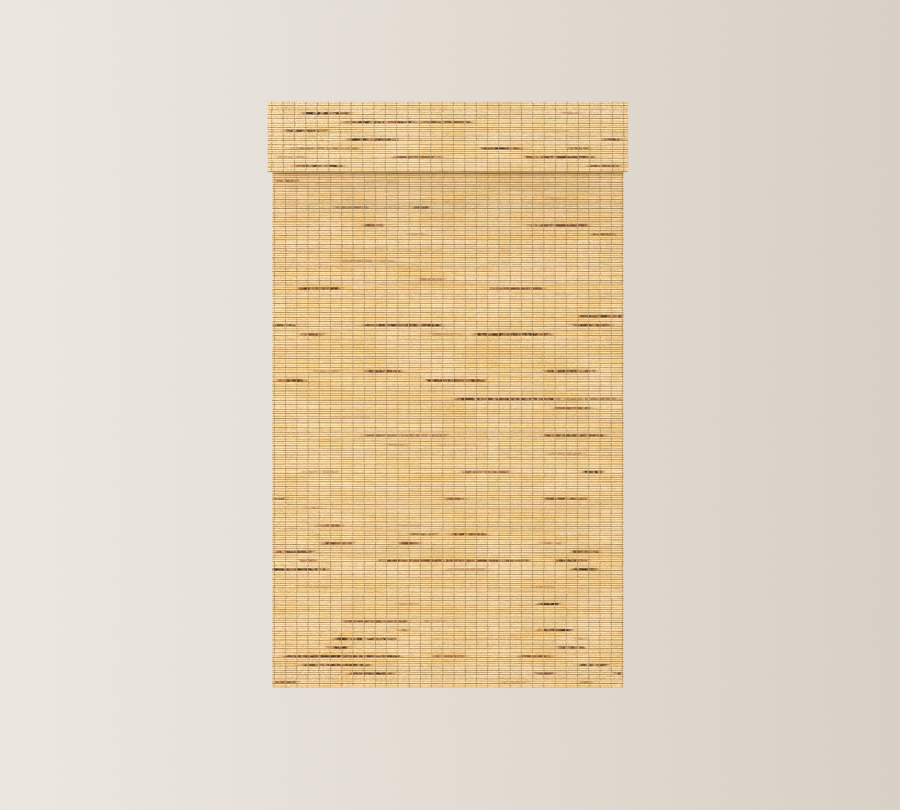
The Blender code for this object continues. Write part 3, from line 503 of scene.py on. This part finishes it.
def reed_edges(length, rng, pitch=REED_PITCH, row_start=0, first=1.0, swell=0.0, streaked=0):
    """Where each reed starts and ends along a line.

    Pairs of a taller and a shorter reed, and a tall streaked one in every group. The groups
    are all as high, so the streaks keep their spacing, but for a swell: a slow sine along the
    line, whose tallest reeds are three eighths of the way down.
    """
    heights = 1 + rng.uniform(-HEIGHT_SPREAD, HEIGHT_SPREAD, max(round(length / pitch), 2))
    heights[streaked::STREAK_EVERY] += STREAK_EXTRA
    heights[row_start % 2 :: 2] += PAIR_SHARE
    heights[1 - row_start % 2 :: 2] -= PAIR_SHARE
    group = np.arange(len(heights)) // STREAK_EVERY
    heights *= (np.bincount(group) / np.bincount(group, heights))[group]
    heights *= 1 + swell * np.sin(tau * np.arange(len(heights)) / len(heights) - pi / 4)
    heights[0] *= first
    edges = np.concatenate([[0], np.cumsum(heights)])
    return edges / edges[-1] * length


def reeds(name, line, edges, width, finish, rng, streaks=(), first_streak=0, row_start=0):
    """Reeds laid across a line, each touching the next.

    A reed runs along X between two edges that wander by a random step at each station. A
    point of its section lies at its middle plus ACROSS times half its height along the line,
    and DEPTH times half its thickness square to the line there.
    """
    count = len(edges) - 1
    x = np.linspace(-1, 1, REED_STATIONS) * width / 2
    wander = rng.normal(0, EDGE_WANDER, (count + 1, REED_STATIONS))
    wander[[0, -1]] = 0
    edge = edges[:, None] + wander
    middle, half = (edge[1:] + edge[:-1]) / 2, (edge[1:] - edge[:-1]) / 2 + REED_LAP
    along = middle[:, :, None] + half[:, :, None] * ACROSS
    y, z, heading = line.at(np.clip(along, 0, line.length))
    thick = rng.uniform(*REED_THICKNESS, (count, 1)) + rng.normal(0, THICKNESS_WANDER, middle.shape)
    shift = rng.uniform(-REED_SHIFT, REED_SHIFT, (count, 1))
    outward = shift[:, :, None] + thick[:, :, None] / 2 * DEPTH
    trim = 1 - rng.uniform(0.0, REED_END_TRIM, (count, 1, 1))
    points = np.stack(
        [
            np.broadcast_to(x[None, :, None] * trim, along.shape),
            y - np.sin(heading) * outward,
            z + np.cos(heading) * outward,
        ],
        axis=-1,
    )
    rows = np.arange(count) + row_start
    place = [points[..., 0], ACROSS, rows[:, None, None] * 1.0]
    # How dark each reed's upper and lower edge is drawn: partly its own darker edge, partly painted shade in the
    # gap
    deep, shallow = rng.uniform(0.85, 1.0, count), rng.uniform(0.35, 0.80, count)
    tall, marked = rows % 2 == 0, (np.arange(count) - first_streak) % STREAK_EVERY == 0
    upper, lower = np.where(tall, (deep, shallow), (shallow, deep))
    each = (slice(None), None, None)
    attributes = {
        "reed_place": np.stack(np.broadcast_arrays(*place), axis=-1),
        "reed_tone": rng.uniform(0, 1, (count, 3))[each],
        "reed_edges": np.stack([upper, lower, marked * 1.0], axis=-1)[each],
    }
    values = streak_values(count, streaks, first_streak, width)
    for key, value in zip(("streak_a", "streak_b", "streak_c"), values):
        attributes[key] = value[each]
    return tubes(name, points, finish, attributes)


def warp_threads(name, line, edges, columns, side, finish, rng, row_start=0):
    """Threads that run along a line, in front of one reed and behind the next.

    Square to the line a thread lies at side * amplitude * sin(pi * reed number), so that it
    crosses the line between two reeds. Its section is a small square turned on its corner.
    """
    count = len(edges) - 1
    number = np.arange(count * THREAD_STATIONS + 1) / THREAD_STATIONS
    where = np.interp(number, np.arange(count + 1), edges)
    number = number + row_start
    y, z, heading = (value[None, :, None] for value in line.at(where))
    swing = side * (max(REED_THICKNESS) / 2 + THREAD_RADIUS * 0.6) * np.sin(pi * number)
    sway = rng.uniform(0, tau, (len(columns), 3))
    starts = sway[:, :1], sway[:, 2:]
    bend = sum(far * np.sin(number * rate + at) for (far, rate), at in zip(THREAD_BENDS, starts))
    hop = THREAD_APART * side * np.cos(pi * number)
    angles = tau * np.arange(4) / 4
    x = columns[:, None, None] + (bend + hop)[:, :, None] + THREAD_RADIUS * np.cos(angles)
    out = swing[None, :, None] + THREAD_RADIUS * np.sin(angles) + np.zeros_like(x)
    points = np.stack([x, y - np.sin(heading) * out, z + np.cos(heading) * out], axis=-1)
    place = [where[None, :, None], angles, np.arange(len(columns))[:, None, None] * 1.0]
    attributes = {"thread_place": np.stack(np.broadcast_arrays(*place), axis=-1)}
    return tubes(name, points, finish, attributes)


# The woven pieces


def weave(name, body, node, line, width, columns, finish, seed, held, rests_on, **layout):
    """One stretch of woven wood: its reeds, and the two threads of each pair."""
    rng = np.random.default_rng(seed)
    row_start = layout.get("row_start", 0)
    spacing = {key: layout.pop(key) for key in ("pitch", "first", "swell") if key in layout}
    streaked = layout.get("first_streak", 0)
    edges = reed_edges(line.length, rng, row_start=row_start, streaked=streaked, **spacing)
    made = reeds(name + "_reeds", line, edges, width, finish, rng, **layout)
    threads = [
        warp_threads(name + end, line, edges, columns, side, THREAD, rng, row_start)
        for end, side in (("_threads_a", 1), ("_threads_b", -1))
    ]
    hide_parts(node)
    for piece in (made, *threads):
        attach(piece, body)
    return made, threads


def thread_columns(first, last, extra=()):
    """X of each pair of warp threads."""
    count = round((last - first) / THREAD_SPACING) + 1
    return np.concatenate([first + THREAD_SPACING * np.arange(count), extra])


def folded_line(low, high, pocket, fold):
    """Down the front of a folded piece, round its bottom and up behind its pocket."""
    thickness = (high[1] - low[1] - pocket) / 2
    radius = (pocket + thickness) / 2
    front = high[2] - low[2] - radius - thickness / 2
    stretches = [(front, 0.0), (pi * radius, pi), (fold - pocket / 2 - thickness, 0.0)]
    return Line((low[1] + thickness / 2, high[2]), -pi / 2, stretches)


def travel(name):
    """How far a sliding joint goes from rest."""
    return next(joint["range_m"][1] for joint in frame["joints"] if joint["name"] == name)


PANEL_THREAD, VALANCE_THREAD = -0.3934, -0.3948  # X of the first pair
PANEL_COLUMNS = thread_columns(PANEL_THREAD, 0.3686, (0.391,))
VALANCE_COLUMNS = thread_columns(VALANCE_THREAD, 0.3926)
THREAD = thread_finish()
VALANCE_FINISH = reed_finish("valance_reeds", (0.98, 0.99, 1.02), VALANCE_THREAD)
PANEL_FINISH = reed_finish("panel_reeds", (0.99, 0.97, 0.95), PANEL_THREAD)
VALANCE_POCKET, VALANCE_FOLD = 0.0036, 0.026
HEM_POCKET, HEM_FOLD = 0.0058, 0.028
PIN_COIL_TURNS, PIN_WIRE = 7, 0.0008
PIN_COIL_STATIONS = 18  # in one turn
WRAP_TURNS = 1.5
WRAPS_INNER_LINE = 0.0204  # radius of the wraps' own line where it starts


def woven_valance():
    low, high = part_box("valance")
    line = folded_line(low, high, VALANCE_POCKET, VALANCE_FOLD)
    weave(
        "valance_weave", "headrail", "valance", line, high[0] - low[0], VALANCE_COLUMNS,
        VALANCE_FINISH, 11, "hung", ["hook_tape"],
        pitch=VALANCE_PITCH, first=VALANCE_FIRST, streaks=VALANCE_STREAKS, first_streak=5,
    )


def woven_hem(rows_above):
    low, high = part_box("hem_fold")
    line = folded_line(low, high, HEM_POCKET, HEM_FOLD)
    weave(
        "hem_weave", "hem", "hem_fold", line, high[0] - low[0], PANEL_COLUMNS,
        PANEL_FINISH, 14, "folded", ["drop_weave_reeds", "weight_bar"],
        row_start=rows_above, streaks=HEM_STREAKS, first_streak=3,
    )


def woven_drop():
    low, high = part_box("fabric_drop")
    height = high[2] - low[2]
    top = ((low[1] + high[1]) / 2, high[2] + STRETCH_LAP)
    line = Line(top, -pi / 2, [(height + 2 * STRETCH_LAP, 0.0)])
    made, threads = weave(
        "drop_weave", "headrail", "fabric_drop", line, high[0] - low[0], PANEL_COLUMNS,
        PANEL_FINISH, 13, "hung", ["lead_weave_reeds"],
        first=DROP_FIRST, swell=DROP_SWELL, streaks=DROP_STREAKS, first_streak=5,
    )
    keep = 1 - travel("lift") / height
    for piece in (made, *threads):
        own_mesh(piece)
    return round(line.length / REED_PITCH)


def woven_lead_and_wraps():
    low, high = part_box("fabric_lead")
    middle = (low[1] + high[1]) / 2
    width = high[0] - low[0]
    line = Line((middle, high[2] + STRETCH_LAP), -pi / 2, [(high[2] - low[2] + STRETCH_LAP, 0.0)])
    rows = round(line.length / REED_PITCH)
    weave(
        "lead_weave", "headrail", "fabric_lead", line, width, PANEL_COLUMNS,
        PANEL_FINISH, 12, "hung", ["wraps_weave_reeds"], row_start=-rows, first_streak=1,
    )
    tube_low, tube_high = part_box("roller_tube")
    axis_y = (tube_low[1] + tube_high[1]) / 2
    line = Spiral((axis_y, high[2]), WRAPS_INNER_LINE, middle - axis_y, WRAP_TURNS)
    rows += round(line.length / REED_PITCH)
    weave(
        "wraps_weave", "roller", "fabric_wraps", line, width, PANEL_COLUMNS,
        PANEL_FINISH, 15, "laid", ["roller_tube"], row_start=-rows, first_streak=1,
    )


def pin_coil():
    """The coil spring behind the sliding pin, drawn at its rest length; the real one shortens as the pin is pushed
    in.

    Its centreline is (x, R cos turn, R sin turn) about the roller's axis, with x growing
    evenly with the turn, and its section is a circle in the plane of X and the radius.
    """
    low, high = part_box("pin_spring")
    wire = PIN_WIRE / 2
    turn = np.linspace(0, tau * PIN_COIL_TURNS, PIN_COIL_TURNS * PIN_COIL_STATIONS + 1)[:, None]
    around = tau * np.arange(8) / 8
    radius = (high[2] - low[2]) / 2 - wire + wire * np.cos(around)
    along = low[0] + wire + (high[0] - low[0] - PIN_WIRE) * turn / turn[-1]
    points = np.stack(
        [
            along - wire * np.sin(around),
            (low[1] + high[1]) / 2 + radius * np.cos(turn),
            (low[2] + high[2]) / 2 + radius * np.sin(turn),
        ],
        axis=-1,
    )
    made = tubes("pin_coil", points[None], FINISHES["spring_steel"], {})
    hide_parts("pin_spring")
    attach(made, "roller")
    keep = 1 - travel("end_pin_slide") / (high[0] - low[0])
    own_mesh(made)


woven_valance()
woven_hem(woven_drop())
woven_lead_and_wraps()


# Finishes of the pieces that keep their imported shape

FINISHES = {
    "pine": pine_finish(),
    "white_plastic": moulded_finish("white_plastic", (0.83, 0.82, 0.78), (0.70, 0.68, 0.63)),
    "grey_plastic": moulded_finish("grey_plastic", (0.36, 0.36, 0.37), (0.27, 0.27, 0.28)),
    "fastening_tape": tape_finish(),
    "zinc_steel": metal_finish("zinc_steel", (0.42, 0.43, 0.44), (0.31, 0.32, 0.34), 0.40, 300),
    "bright_steel": metal_finish("bright_steel", (0.45, 0.45, 0.46), (0.33, 0.33, 0.35), 0.32, 200),
    "spring_steel": metal_finish("spring_steel", (0.20, 0.20, 0.21), (0.10, 0.10, 0.11), 0.36, 90),
    "brass": metal_finish("brass", (0.78, 0.58, 0.26), (0.55, 0.37, 0.14), 0.28, 120),
}
pin_coil()
for row in frame["record"]["subparts"]:
    if row["material_slot"] in FINISHES:
        for held in frame["nodes"][row["node"]].material_slots:
            held.material = FINISHES[row["material_slot"]]


# Studio


def world_light(scene):
    """A pale wall tone, a little brighter to the left, that lights the blind only faintly."""
    world = bpy.data.worlds.new("studio")
    scene.world = world
    world.use_nodes = True
    nodes, links = world.node_tree.nodes, world.node_tree.links
    faint, wall = nodes["Background"], nodes.new("ShaderNodeBackground")
    pick = nodes.new("ShaderNodeMixShader")
    faint.inputs["Color"].default_value = WALL_TONE
    faint.inputs["Strength"].default_value = AMBIENT
    direction, apart = nodes.new("ShaderNodeTexCoord"), nodes.new("ShaderNodeSeparateXYZ")
    spread, tone = nodes.new("ShaderNodeMapRange"), nodes.new("ShaderNodeMix")
    spread.inputs["From Min"].default_value, spread.inputs["From Max"].default_value = -0.17, 0.17
    tone.data_type = "RGBA"
    tone.inputs[6].default_value, tone.inputs[7].default_value = WALL_LEFT, WALL_RIGHT
    links.new(direction.outputs["Generated"], apart.inputs[0])
    links.new(apart.outputs[0], spread.inputs["Value"])
    links.new(spread.outputs[0], tone.inputs[0])
    links.new(tone.outputs[2], wall.inputs["Color"])
    links.new(nodes.new("ShaderNodeLightPath").outputs["Is Camera Ray"], pick.inputs[0])
    links.new(faint.outputs[0], pick.inputs[1])
    links.new(wall.outputs[0], pick.inputs[2])
    links.new(pick.outputs[0], nodes["World Output"].inputs["Surface"])


def floor_stage(scene):
    mesh = bpy.data.meshes.new("floor")
    half = FLOOR_HALF
    corners = [(-half, -half), (half, -half), (half, half), (-half, half)]
    mesh.from_pydata([(x, y, FLOOR_Z) for x, y in corners], [], [(0, 1, 2, 3)])
    finish = Finish("floor_paint", Roughness=0.9)
    x, y, z = finish.place()
    colour = finish.blend(finish.noise(x, y, z) * 0.15, FLOOR_TONE, (0.6, 0.56, 0.5))
    mesh.materials.append(finish.wear(Base_Color=colour))
    floor = bpy.data.objects.new("floor", mesh)
    scene.collection.objects.link(floor)


def soft_light(scene, name, at, size, power, aim=(0, 0, -0.65)):
    light = bpy.data.lights.new(name, "AREA")
    light.shape = "RECTANGLE"
    light.size, light.size_y = size
    light.energy = power
    lamp = bpy.data.objects.new(name, light)
    lamp.location = at
    lamp.rotation_mode = "QUATERNION"
    lamp.rotation_quaternion = (Vector(aim) - lamp.location).to_track_quat("-Z", "Y")
    lamp.visible_camera = False
    scene.collection.objects.link(lamp)


def studio():
    scene = bpy.context.scene
    scene.view_settings.view_transform = "Standard"
    world_light(scene)
    floor_stage(scene)
    soft_light(scene, "key", (-1.6, -5.0, -0.14), (2.4, 0.8), 205)
    soft_light(scene, "fill", (2.4, -4.6, -0.9), (2.0, 1.6), 48)
    soft_light(scene, "top", (0.0, 0.5, 4.5), (9.0, 9.0), 330, aim=(0, 0.5, 0))
    soft_light(scene, "back", (1.2, 5.0, 0.4), (3.0, 2.4), 190)
    for name, x in (("left", -5.0), ("right", 5.0)):
        soft_light(scene, name, (x, 0.3, -0.2), (2.4, 2.4), 60)


studio()
